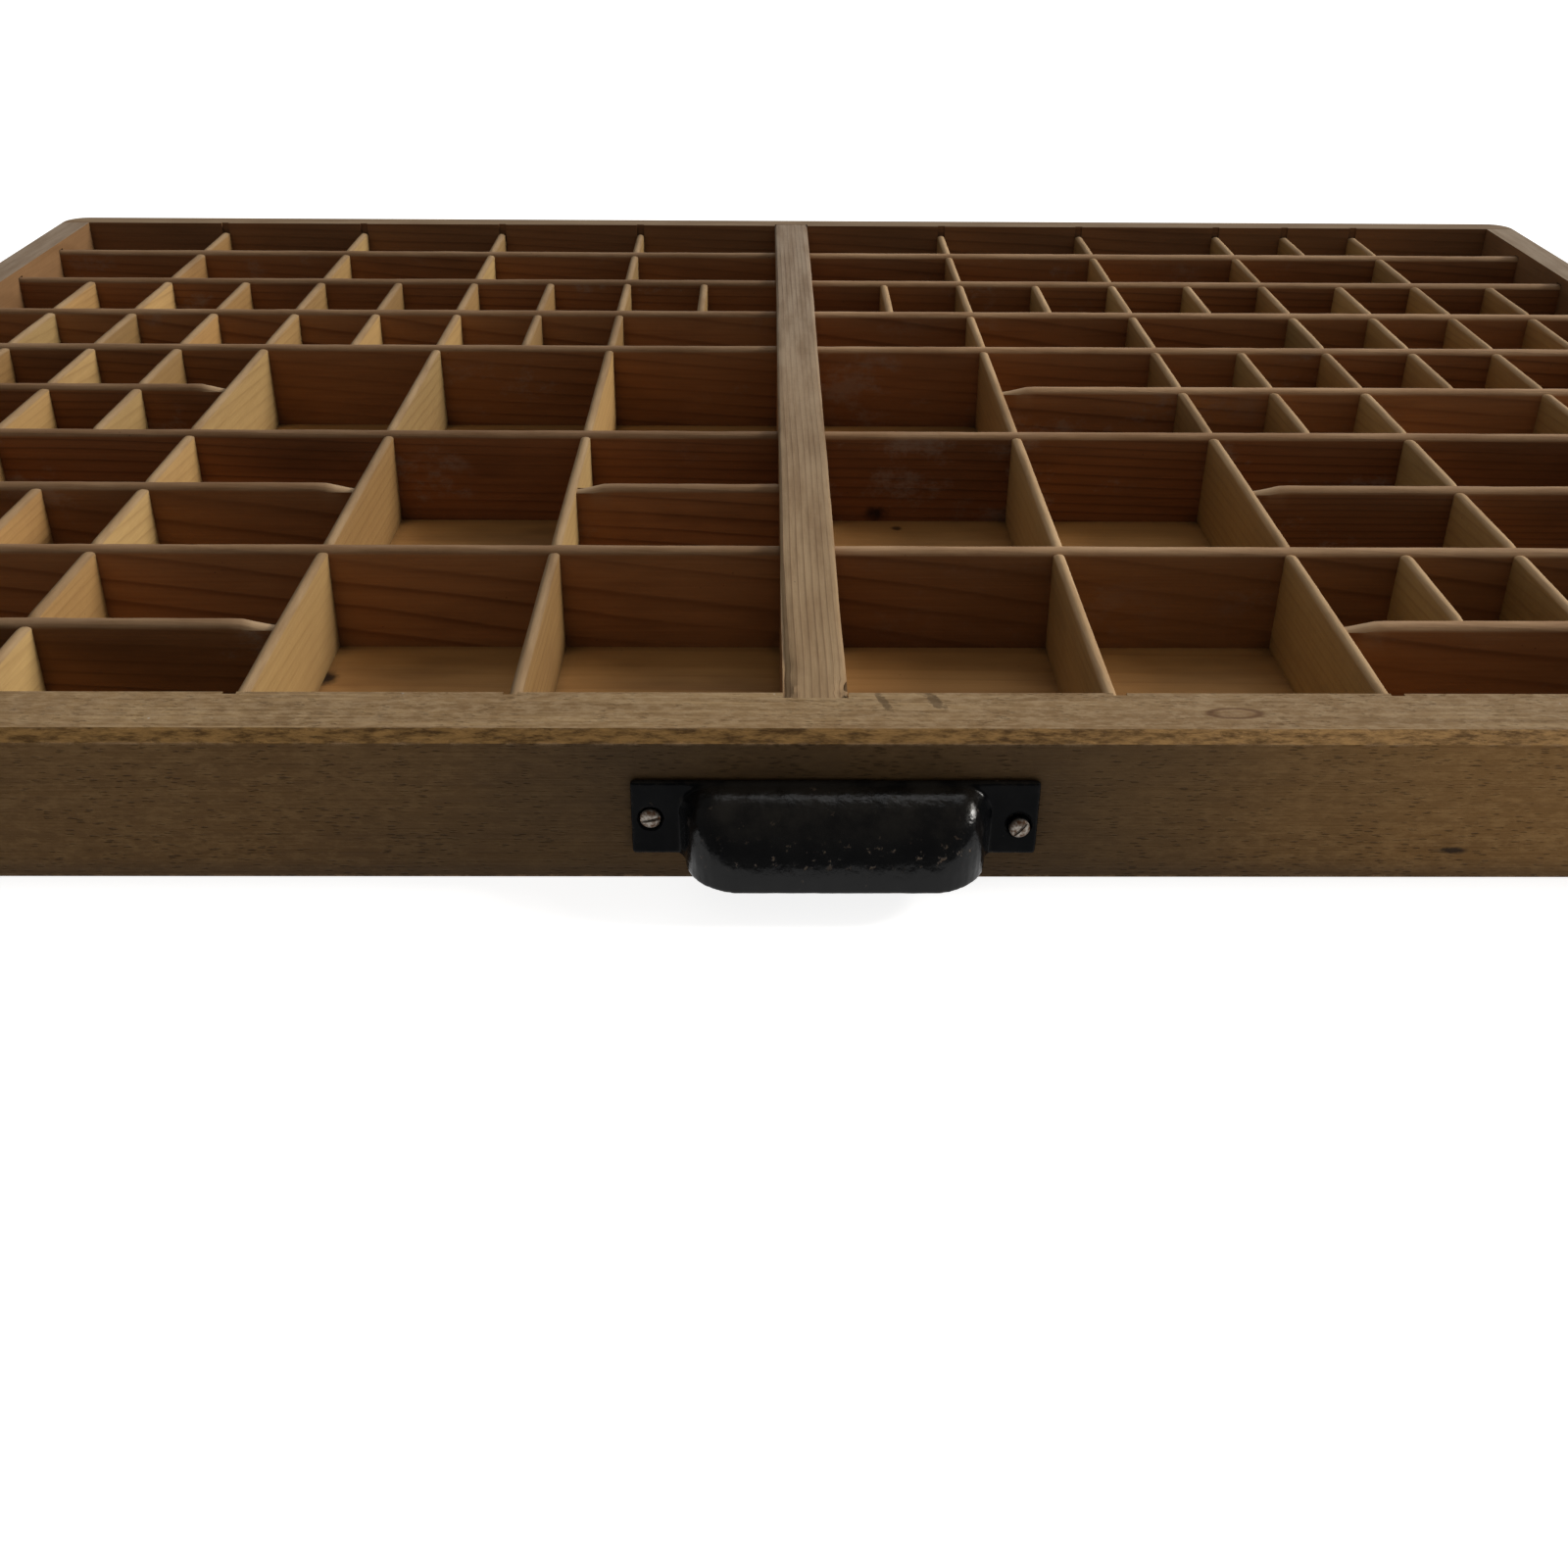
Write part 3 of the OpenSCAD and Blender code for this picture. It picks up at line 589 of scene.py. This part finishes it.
def front_wood():
    """Front rail: greyed top, rough bevel, dark handled face that is blackest round the pull."""
    m, t = material("front_rail_wood")
    pos = t.new("ShaderNodeTexCoord").outputs["Object"]
    x, y, z = t.sep(pos)
    vec = t.comb(x, z, y)
    face, ring, streak = wood_core(t, vec, (0.080, 0.041, 0.0125), (0.052, 0.025, 0.0075), 0.0046,
                                   (0.03, 0.25, 0.02), 0.5)
    # short dark flecks of beech
    fl = t.voronoi(t.mapping(vec, scale=(0.20, 1, 1)), 1500).outputs["Distance"]
    flick = t.math("MULTIPLY", t.step(fl, 0.16, 0.36, 1.0, 0.0),
                   t.step(t.noise(pos, 150, 3.0), 0.36, 0.62))
    face = t.mix(t.math("MULTIPLY", flick, 0.60), face, (0.018, 0.009, 0.0035))
    mott = t.noise(t.mapping(vec, scale=(0.45, 1, 1)), 520, 4.0, 0.7)
    face = t.mix(t.step(mott, 0.42, 0.66, 0.0, 0.60), face, (0.118, 0.067, 0.025))
    # grime round the pull, thinning out along the rail
    dx = t.math("DIVIDE", t.math("ABSOLUTE", t.math("SUBTRACT", x, (pul.x + puh.x) / 2)), 0.105)
    grime = t.math("ADD", t.step(dx, 0.35, 1.35, 1.0, 0.0),
                   t.math("MULTIPLY", t.math("SUBTRACT", t.noise(pos, 30, 4.0, 0.6), 0.5), 0.9))
    face = t.mix(t.math("MULTIPLY", grime, 0.66, clamp=True), face, (0.026, 0.016, 0.0075))
    cloud = t.noise(t.mapping(pos, scale=(0.5, 1, 1)), 24, 4.0, 0.62)
    face = t.mix(t.step(cloud, 0.40, 0.72, 0.0, 0.30), face, (0.092, 0.051, 0.018))
    # warmer and lighter towards the right
    face = t.mix(t.step(x, 0.03, 0.18, 0.0, 0.85), face, t.mix(1.0, face, (2.1, 2.1, 2.1), "MULTIPLY"))
    # a short dark crack low on the right
    kd = t.vmath("LENGTH", t.vmath("MULTIPLY", t.vmath("SUBTRACT", pos, CRACK_AT),
                                   (0.55, 1.0, 1.9)))
    kd = t.math("ADD", t.math("DIVIDE", kd, 0.0021),
                t.math("MULTIPLY", t.math("SUBTRACT", t.noise(pos, 600, 3.0), 0.5), 0.9))
    face = t.mix(t.step(kd, 0.35, 1.15, 0.9, 0.0), face, (0.012, 0.006, 0.003))
    # darker along the lower edge
    face = t.mix(t.step(z, 0.0, 0.006, 0.5, 0.0), face, (0.045, 0.028, 0.016))
    # top: greyed, with faint cross marks of the plane
    grain = t.noise(t.mapping(vec, scale=(0.03, 1, 1)), 900, 4.0, 0.6)
    top = t.mix(t.step(grain, 0.30, 0.72), (0.345, 0.232, 0.118), (0.175, 0.104, 0.045))
    wide = t.noise(t.mapping(pos, scale=(0.6, 2.2, 1)), 20, 4.0, 0.6)
    top = t.mix(t.step(wide, 0.36, 0.66, 0.0, 0.70), top, (0.215, 0.130, 0.060))
    fuzz = t.noise(t.mapping(vec, scale=(0.4, 1, 1)), 640, 4.0, 0.72)
    top = t.mix(t.step(fuzz, 0.40, 0.66, 0.0, 0.45), top, (0.420, 0.305, 0.180))
    top = t.mix(t.step(x, -0.05, 0.20, 0.0, 0.25), top, t.mix(1.0, top, (1.25, 1.3, 1.45), "MULTIPLY"))
    chatter = t.new("ShaderNodeTexWave", wave_type="BANDS", bands_direction="X")
    chatter.inputs["Scale"].default_value = 42
    chatter.inputs["Distortion"].default_value = 3.0
    chatter.inputs["Detail"].default_value = 2.0
    t.link(pos, chatter.inputs["Vector"])
    chat = t.math("MULTIPLY", chatter.outputs["Fac"], t.step(x, -0.04, -0.12))
    top = t.mix(t.math("MULTIPLY", chat, 0.16), top, (0.16, 0.10, 0.058))
    # bevel: sawn rough and oily
    rough_n = t.noise(t.mapping(vec, scale=(0.25, 1, 1)), 700, 4.0, 0.7)
    bev = t.mix(t.step(rough_n, 0.35, 0.7), (0.250, 0.140, 0.048), (0.070, 0.036, 0.012))
    bev = t.mix(t.step(x, -0.02, 0.12, 0.0, 1.0), bev, t.mix(1.0, bev, (1.6, 1.65, 1.85), "MULTIPLY"))
    nz = t.sep(t.new("ShaderNodeNewGeometry").outputs["Normal"])[2]
    c = t.mix(t.step(nz, 0.20, 0.45), face, bev)
    c = t.mix(t.step(nz, 0.80, 0.93), c, top)
    # two slanted stains and an oval mark on the top
    up = t.step(nz, 0.80, 0.93)
    for mx, my, ang, w, ln in STAINS:
        q = t.mapping(t.vmath("SUBTRACT", pos, (mx, my, TOP)), rot=(0, 0, ang))
        qx, qy, _ = t.sep(q)
        e = t.math("ADD", t.math("POWER", t.math("ABSOLUTE", t.math("DIVIDE", qx, w)), 2.0),
                   t.math("POWER", t.math("ABSOLUTE", t.math("DIVIDE", qy, ln)), 2.0))
        e = t.math("ADD", e, t.math("MULTIPLY", t.math("SUBTRACT", t.noise(pos, 700, 3.0), 0.5), 2.6))
        c = t.mix(t.math("MULTIPLY", t.math("MULTIPLY", t.step(e, 0.4, 1.1, 1.0, 0.0), up), 0.62), c,
                  (0.070, 0.042, 0.020))
    q = t.mapping(t.vmath("SUBTRACT", pos, OVAL_AT), scale=(1 / OVAL_HALF[0], 1 / OVAL_HALF[1], 1))
    qx, qy, _ = t.sep(q)
    rr = t.math("SQRT", t.math("ADD", t.math("MULTIPLY", qx, qx), t.math("MULTIPLY", qy, qy)))
    rim = t.step(t.math("ABSOLUTE", t.math("SUBTRACT", rr, 1.0)), 0.06, 0.30, 1.0, 0.0)
    c = t.mix(t.math("MULTIPLY", t.math("MULTIPLY", rim, up), 0.75), c, (0.11, 0.050, 0.022))
    inside = t.step(rr, 0.7, 1.0, 1.0, 0.0)
    c = t.mix(t.math("MULTIPLY", t.math("MULTIPLY", inside, up), 0.25), c, (0.22, 0.12, 0.06))
    # pale specks
    sv = t.voronoi(pos, 260)
    hit = t.math("GREATER_THAN", t.sep(sv.outputs["Color"])[1], 0.90)
    hit = t.math("MULTIPLY", t.step(sv.outputs["Distance"], 0.04, 0.10, 1.0, 0.0), hit)
    c = t.mix(t.math("MULTIPLY", hit, 0.85), c, (0.46, 0.40, 0.33))
    # worn edges show the bare wood
    wearn = t.noise(pos, 190, 4.0, 0.7)
    bev_n = t.new("ShaderNodeBevel", samples=4)
    bev_n.inputs["Radius"].default_value = 0.0011
    edge = t.vmath("DOT_PRODUCT", bev_n.outputs[0], t.new("ShaderNodeNewGeometry").outputs["Normal"])
    edge = t.step(edge, 0.93, 0.995, 1.0, 0.0)
    c = t.mix(t.math("MULTIPLY", t.math("MULTIPLY", edge, t.step(wearn, 0.42, 0.62)), 0.55), c,
              (0.330, 0.215, 0.120))
    rg = t.math("ADD", 0.50, t.math("MULTIPLY", streak, 0.22))
    relief = t.math("ADD", t.math("ADD", streak, mott), t.math("MULTIPLY", flick, -1.2))
    n = bump(t, relief, 0.8, 0.00022)
    n = bump(t, t.math("MULTIPLY", rough_n, t.step(nz, 0.15, 0.45)), 0.6, 0.0004, n)
    n = bump(t, t.noise(pos, 60, 3.0), 0.3, 0.0008, n)
    principled(t, c, rg, n, specular=0.08)
    return m


rail_mats = {
    "front_rail": front_wood(),
    "back_rail": board_wood("back_rail_wood", (0.240, 0.118, 0.052), (0.110, 0.048, 0.020), 0.0026,
                            "obj", (0.03, -0.18, 0.03), top_grey=(0.27, 0.195, 0.120),
                            offset=(0.7, 0, 0), contrast=0.6),
    "left_rail": board_wood("left_rail_wood", (0.270, 0.150, 0.068), (0.150, 0.074, 0.030), 0.0026,
                            "obj", (0.02, -0.29, 0.03), top_grey=(0.300, 0.240, 0.180),
                            axis="Y", offset=(0.2, 0, 0), contrast=0.6),
    "right_rail": board_wood("right_rail_wood", (0.270, 0.150, 0.072), (0.135, 0.068, 0.032), 0.0026,
                             "obj", (0.02, 0.29, 0.03), top_grey=(0.330, 0.262, 0.190),
                             axis="Y", offset=(1.3, 0, 0), contrast=0.6),
    # the cell floor takes the grime and painted shade of the corners at full strength
    "bottom_board": board_wood("bottom_board_wood", (0.470, 0.252, 0.086), (0.330, 0.160, 0.050),
                               0.0060, "obj", (0.09, 0.02, 0.02), stain=0.85,
                               stain_c=(0.17, 0.080, 0.028), contrast=0.50, corner_dirt_and_shade=1.0,
                               spots=FLOOR_SPOTS),
}
RAIL_EASE = 0.00045
BOARD_EASE = 0.0002
for n, m in rail_mats.items():
    o = nodes[n]
    o.data.materials.clear()
    o.data.materials.append(m)
    # the CAD mesh comes split at every edge, so it is welded first
    wd = o.modifiers.new("weld", "WELD")
    wd.merge_threshold = 1e-6
    d = o.modifiers.new("flatten", "DECIMATE")
    d.decimate_type = "DISSOLVE"
    d.angle_limit = math.radians(0.6)
    b = o.modifiers.new("ease", "BEVEL")
    b.width = BOARD_EASE if n == "bottom_board" else RAIL_EASE
    b.segments = 3
    b.limit_method = "ANGLE"
    b.angle_limit = math.radians(40)
    b.use_clamp_overlap = True
    for p in o.data.polygons:
        p.use_smooth = True
    w = o.modifiers.new("normals", "WEIGHTED_NORMAL")
    w.keep_sharp = True


# ---------------------------------------------------------------- cup pull
def iron():
    """Black paint on cast iron: pitted, glossy, rubbed to brown metal along the lip."""
    m, t = material("painted_cast_iron")
    pos = t.new("ShaderNodeTexCoord").outputs["Object"]
    x, y, z = t.sep(pos)
    cloud = t.noise(pos, 120, 4.0, 0.6)
    c = t.mix(t.step(cloud, 0.35, 0.7), (0.0012, 0.0014, 0.0019), (0.0032, 0.0034, 0.0037))
    pits = t.noise(pos, 1500, 4.0, 0.65)
    # rubbed band across the front of the cup
    chip = t.noise(pos, 480, 5.0, 0.7)
    band = t.math("MULTIPLY", t.step(z, pul.z + 0.0045, pul.z + 0.0072),
                  t.step(z, pul.z + 0.0125, pul.z + 0.0088))
    out = t.step(y, pul.y + 0.0075, pul.y + 0.0035)
    worn = t.math("MULTIPLY", t.math("MULTIPLY", band, out), t.step(chip, 0.60, 0.67))
    spots = t.math("MULTIPLY", t.step(t.noise(pos, 210, 4.0, 0.7), 0.64, 0.70), 0.75)
    bev_n = t.new("ShaderNodeBevel", samples=4)
    bev_n.inputs["Radius"].default_value = 0.0010
    edge = t.vmath("DOT_PRODUCT", bev_n.outputs[0], t.new("ShaderNodeNewGeometry").outputs["Normal"])
    edge = t.math("MULTIPLY", t.step(edge, 0.90, 0.99, 1.0, 0.0), t.step(chip, 0.50, 0.62))
    mask = t.math("MAXIMUM", worn, t.math("MAXIMUM", t.math("MULTIPLY", spots, 0.5),
                                          t.math("MULTIPLY", edge, 0.6)))
    bare = t.mix(t.step(pits, 0.3, 0.7), (0.105, 0.078, 0.055), (0.045, 0.030, 0.020))
    c = t.mix(mask, c, bare)
    nz = t.sep(t.new("ShaderNodeNewGeometry").outputs["Normal"])[2]
    dust = t.math("MULTIPLY", t.step(nz, 0.45, 0.95), t.step(cloud, 0.30, 0.60, 0.3, 1.0))
    c = t.mix(t.math("MULTIPLY", dust, 0.14), c, (0.070, 0.058, 0.044))
    rg = t.math("ADD", t.step(pits, 0.3, 0.75, 0.10, 0.26), t.math("MULTIPLY", mask, 0.25))
    n = bump(t, pits, 0.30, 0.00012)
    n = bump(t, t.noise(pos, 260, 3.0, 0.6), 0.35, 0.0004, n)
    n = bump(t, t.math("SUBTRACT", 1.0, mask), 0.5, 0.00010, n)
    p = principled(t, c, rg, n)
    t.put(p.inputs["Specular IOR Level"], t.step(y, FRONT - 0.0034, FRONT - 0.0021, 0.17, 0.035))
    return m


def screw_metal():
    m, t = material("old_screw_steel")
    pos = t.new("ShaderNodeTexCoord").outputs["Object"]
    r = t.noise(pos, 900, 4.0, 0.7)
    c = t.mix(t.step(r, 0.40, 0.62), (0.260, 0.235, 0.205), (0.085, 0.040, 0.018))
    n = bump(t, r, 0.5, 0.0001)
    principled(t, c, t.step(r, 0.3, 0.7, 0.38, 0.75), n, metallic=0.75, specular=0.5)
    return m


def evaluated_mesh(o, name):
    dg = bpy.context.evaluated_depsgraph_get()
    dg.update()
    me = bpy.data.meshes.new_from_object(o.evaluated_get(dg))
    me.name = name
    return me


def strip_modifiers(o, name):
    me = evaluated_mesh(o, name)
    o.modifiers.clear()
    old = o.data
    o.data = me
    bpy.data.meshes.remove(old)


PULL_X = (pul.x + puh.x) / 2
PLATE = 2 * MM
CUP_R = FRONT - pul.y
CUP_HALF = 33 * MM
CUP_ROUND = 0.0082
CUP_FLARE = 1.5 * MM
CUP_SQUARE = 2.12  # 2 would be a true quarter circle
WALL = 0.0024
HOLLOW_ROUND = 0.0062
HOLE_R = 0.0027
VOXEL = 0.00042
screw_l = [(a + b) / 2 for a, b in zip(*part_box("pull_screw_left"))]
screw_r = [(a + b) / 2 for a, b in zip(*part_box("pull_screw_right"))]


def cup_section(hw, rad, rnd, nx):
    """(x, radius) across the cup: flat in the middle, rounded into the two end walls.
    The first and last lie on the axis."""
    side = [(-hw, (rad - rnd) * f / 6) for f in range(7)]
    pts = list(side)
    for i in range(1, 9):
        a = math.pi / 2 * i / 9
        pts.append((-hw + rnd - rnd * math.cos(a), rad - rnd + rnd * math.sin(a)))
    for i in range(nx + 1):
        pts.append((-hw + rnd + (2 * hw - 2 * rnd) * i / nx, rad))
    for i in range(1, 9):
        a = math.pi / 2 * (1 - i / 9)
        pts.append((hw - rnd + rnd * math.cos(a), rad - rnd + rnd * math.sin(a)))
    return pts + [(-x, r) for x, r in side[::-1]]


def cup_solid(hw, rad, rnd, z0, flare=0.0, ny=28):
    """Quarter-turn cup: its section swung from the plate to the lip, a little squarer than round."""
    bm = bmesh.new()
    ends = [bm.verts.new((PULL_X + x, FRONT, z0)) for x in (-hw - flare, hw + flare)]
    grid = []
    for j in range(ny + 1):
        a = math.pi / 2 * j / ny
        s, c = math.sin(a), math.cos(a)
        k = 1.0 / ((s ** CUP_SQUARE + c ** CUP_SQUARE) ** (1 / CUP_SQUARE))
        sec = cup_section(hw, rad, rnd * (0.72 + 0.86 * s * s), 24)
        row = [ends[0]]
        for x, r in sec[1:-1]:
            kk = 1 + (k - 1) * min(1.0, r / rad)
            out = min(r * s * kk, rad)
            root = flare * max(0.0, 1 - max(0.0, out - PLATE) / 0.004) ** 2
            row.append(bm.verts.new((PULL_X + x + math.copysign(root * min(1.0, abs(x) / hw) ** 8, x),
                                     FRONT - out, z0 + min(r * c * kk, rad))))
        grid.append(row + [ends[1]])
    for j in range(ny):
        for i in range(len(sec) - 1):
            q = [grid[j][i], grid[j][i + 1], grid[j + 1][i + 1], grid[j + 1][i]]
            q = [v for k, v in enumerate(q) if v not in q[:k]]
            bm.faces.new(q)
    bm.faces.new(grid[0])
    bm.faces.new(grid[-1][::-1])
    bmesh.ops.triangulate(bm, faces=bm.faces[-2:])
    bmesh.ops.recalc_face_normals(bm, faces=bm.faces)
    me = bpy.data.meshes.new("cup_tmp")
    bm.to_mesh(me)
    bm.free()
    return me


def box_mesh(lo, hi, bevel=0.0, seg=3):
    bm = bmesh.new()
    bmesh.ops.create_cube(bm, size=1.0)
    for v in bm.verts:
        v.co = Vector([lo[k] + (v.co[k] + 0.5) * (hi[k] - lo[k]) for k in range(3)])
    if bevel:
        bmesh.ops.bevel(bm, geom=list(bm.edges), offset=bevel, segments=seg, affect="EDGES", profile=0.5)
    me = bpy.data.meshes.new("box_tmp")
    bm.to_mesh(me)
    bm.free()
    return me


def boolean(o, other, op):
    b = o.modifiers.new("b", "BOOLEAN")
    b.operation = op
    b.solver = "EXACT"
    b.object = other


def cyl_mesh(r, p, d, seg=48, length=0.004):
    bm = bmesh.new()
    bmesh.ops.create_cone(bm, cap_ends=True, segments=seg, radius1=r, radius2=r, depth=length)
    bmesh.ops.rotate(bm, verts=bm.verts, cent=(0, 0, 0), matrix=Matrix.Rotation(math.pi / 2, 3, "X"))
    bmesh.ops.translate(bm, verts=bm.verts, vec=(p[0], p[1] + d, p[2]))
    me = bpy.data.meshes.new("cyl_tmp")
    bm.to_mesh(me)
    bm.free()
    return me


iron_mat = iron()
plate = link_obj("cup_pull_iron", box_mesh((pul.x, FRONT - PLATE, pul.z), (puh.x, FRONT, puh.z), 0.0006))
cup = link_obj("tmp_cup", cup_solid(CUP_HALF, CUP_R, CUP_ROUND, pul.z, CUP_FLARE))
hollow = link_obj("tmp_hollow",
                  cup_solid(CUP_HALF - WALL, CUP_R - WALL, HOLLOW_ROUND, pul.z - 0.0004))
keep = link_obj("tmp_keep", box_mesh((pul.x - 0.01, FRONT - 0.03, pul.z - 0.003),
                                     (puh.x + 0.01, FRONT - 0.0014, puh.z + 0.01)))
boolean(hollow, keep, "INTERSECT")
holes = [link_obj("tmp_hole_" + s, cyl_mesh(HOLE_R, (sx, FRONT - PLATE, sz), -0.0006))
         for s, sx, sz in (("l", screw_l[0], screw_l[2]), ("r", screw_r[0], screw_r[2]))]
boolean(plate, cup, "UNION")
boolean(plate, hollow, "DIFFERENCE")
for o in holes:
    boolean(plate, o, "DIFFERENCE")
strip_modifiers(plate, "cup_pull_iron")
rm = plate.modifiers.new("cast", "REMESH")
rm.mode = "VOXEL"
rm.voxel_size = VOXEL
sm = plate.modifiers.new("soft", "SMOOTH")
sm.factor = 0.5
sm.iterations = 7
strip_modifiers(plate, "cup_pull_iron")
normals = [v.normal.copy() for v in plate.data.vertices]
coords = [v.co.copy() for v in plate.data.vertices]
limits = ((pul.x, puh.x), (pul.y, FRONT), (pul.z, puh.z))
for i, (c, n) in enumerate(zip(coords, normals)):
    c += n * ((fnoise(*(c * 260)) + 0.5 * fnoise(*(c * 700))) * 0.00007 - 0.00004)
    coords[i] = [min(max(c[k], a), b) for k, (a, b) in enumerate(limits)]
plate.data.vertices.foreach_set("co", [x for c in coords for x in c])
plate.data.update()
for p in plate.data.polygons:
    p.use_smooth = True
plate.data.materials.clear()
plate.data.materials.append(iron_mat)
for o in (cup, hollow, keep, *holes):
    bpy.data.objects.remove(o)
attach(plate, "root")
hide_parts("cup_pull")

screw_mat = screw_metal()


HEAD_R = 0.0023
HEAD_RIM = 0.0003
SHANK_R = 0.0014
SHANK_LENGTH = 0.0105
SLOT_HALF = 0.00036
SLOT_DEPTH = 0.0008


def screw(name, cad, centre, seat, dome, turn):
    """Slotted round head on a short neck, made by turning a profile and cutting the slot."""
    bm = bmesh.new()
    prof = [(SHANK_R, -SHANK_LENGTH), (SHANK_R, 0.0), (HEAD_R, 0.0), (HEAD_R, HEAD_RIM)]
    for i in range(1, 9):
        a = math.pi / 2 * i / 8
        prof.append((HEAD_R * math.cos(a) if i < 8 else 0.0,
                     HEAD_RIM + (dome - HEAD_RIM) * math.sin(a)))
    seg = 40
    turns = [2 * math.pi * k / seg for k in range(seg)]
    rings = [[bm.verts.new((pr * math.cos(u), pr * math.sin(u), h)) for u in turns] for pr, h in prof]
    for a, b in zip(rings, rings[1:]):
        for k in range(seg):
            bm.faces.new((a[k], a[(k + 1) % seg], b[(k + 1) % seg], b[k]))
    bmesh.ops.remove_doubles(bm, verts=bm.verts, dist=1e-7)
    bound = [e for e in bm.edges if e.is_boundary]
    bmesh.ops.holes_fill(bm, edges=bound, sides=0)
    bmesh.ops.recalc_face_normals(bm, faces=bm.faces)
    me = bpy.data.meshes.new(name)
    bm.to_mesh(me)
    bm.free()
    o = link_obj(name, me)
    cut = link_obj("tmp_slot", box_mesh((-0.004, -SLOT_HALF, dome - SLOT_DEPTH),
                                        (0.004, SLOT_HALF, dome + 0.002)))
    cut.rotation_euler = (0, 0, turn)
    boolean(o, cut, "DIFFERENCE")
    strip_modifiers(o, name)
    bpy.data.objects.remove(cut)
    b = o.modifiers.new("ease", "BEVEL")
    b.width = 0.00012
    b.segments = 2
    b.limit_method = "ANGLE"
    b.angle_limit = math.radians(35)
    for p in o.data.polygons:
        p.use_smooth = True
    o.matrix_world = (Matrix.Translation((centre[0], FRONT - seat, centre[2]))
                      @ Matrix.Rotation(math.pi / 2, 4, "X"))
    o.data.materials.clear()
    o.data.materials.append(screw_mat)
    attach(o, "root")
    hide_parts(cad)


screw("pull_screw_left_steel", "pull_screw_left", screw_l, PLATE - 0.0005, 0.0013, 0.2)
screw("pull_screw_right_steel", "pull_screw_right", screw_r, PLATE + 0.0008, 0.0014, 0.85)

m, t = material("nail_steel")
pos = t.new("ShaderNodeTexCoord").outputs["Object"]
r = t.noise(pos, 700, 4.0, 0.7)
principled(t, t.mix(t.step(r, 0.4, 0.62), (0.20, 0.19, 0.175), (0.09, 0.048, 0.024)),
           t.step(r, 0.3, 0.7, 0.4, 0.8),
           bump(t, r, 0.4, 0.0001), metallic=0.8)
nodes["bottom_nails"].data.materials.clear()
nodes["bottom_nails"].data.materials.append(m)

# ---------------------------------------------------------------- camera, floor and light
# fitted to the grid of compartments in the photo
CAMERA_AT = (-0.01117, -0.55922, 0.21487)
LENS = 38.84
PITCH, YAW, ROLL = (math.radians(a) for a in (30.936, 0.717, -0.440))
cp, sp = math.cos(PITCH), math.sin(PITCH)
cy, sy = math.cos(YAW), math.sin(YAW)
cr, sr = math.cos(ROLL), math.sin(ROLL)
fwd = Vector((sy * cp, cy * cp, -sp))
right = Vector((cy, -sy, 0))
down = fwd.cross(right)
r2 = cr * right + sr * down
d2 = -sr * right + cr * down
cam_data = bpy.data.cameras.new("camera")
cam_data.sensor_width = 36
cam_data.lens = LENS
cam_data.clip_start = 0.01
cam = bpy.data.objects.new("camera", cam_data)
scene.collection.objects.link(cam)
M = Matrix.Identity(4)
for i in range(3):
    M[i][0], M[i][1], M[i][2] = r2[i], -d2[i], -fwd[i]
cam.matrix_world = Matrix.Translation(CAMERA_AT) @ M
scene.camera = cam

FLOOR_GAP = 0.3 * MM  # the floor lies this far under the case, so that the two faces don't meet
FLOOR_GREY = 0.62
FLOOR_GLOW = 0.86
WORLD_COLOUR = (1.0, 0.965, 0.91, 1)
WORLD_STRENGTH = 0.22

bm = bmesh.new()
bmesh.ops.create_grid(bm, x_segments=2, y_segments=2, size=12)
me = bpy.data.meshes.new("floor")
bm.to_mesh(me)
bm.free()
floor = link_obj("floor", me)
floor.location.z = -FLOOR_GAP
m, t = material("floor_white")
p = principled(t, (FLOOR_GREY, FLOOR_GREY, FLOOR_GREY, 1), 0.9, specular=0.0)
p.inputs["Emission Color"].default_value = (1.0, 1.0, 1.0, 1)
p.inputs["Emission Strength"].default_value = FLOOR_GLOW
me.materials.append(m)
floor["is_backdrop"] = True

world = bpy.data.worlds.new("studio")
scene.world = world
world.use_nodes = True
wt = Tree(world.node_tree)
bg = wt.new("ShaderNodeBackground")
bg.inputs["Color"].default_value = WORLD_COLOUR
bg.inputs["Strength"].default_value = WORLD_STRENGTH
wt.link(bg.outputs[0], wt.new("ShaderNodeOutputWorld").inputs[0])


def sun(name, az, el, power, angle, color=(1, 1, 1)):
    """az is where the light comes from, 0 from the front and 90 from the right."""
    d = bpy.data.lights.new(name, "SUN")
    d.energy = power
    d.angle = math.radians(angle)
    d.color = color
    o = bpy.data.objects.new(name, d)
    scene.collection.objects.link(o)
    a, e = math.radians(az), math.radians(el)
    frm = Vector((math.sin(a) * math.cos(e), -math.cos(a) * math.cos(e), math.sin(e)))
    o.matrix_world = frm.to_track_quat("Z", "Y").to_matrix().to_4x4()


sun("key", 102, 27, 1.75, 24, (1.0, 0.955, 0.88))
sun("glint", 94, 26, 1.0, 7, (1.0, 0.975, 0.94))
sun("back", 160, 50, 0.8, 40, (0.97, 0.98, 1.0))

lo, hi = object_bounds()
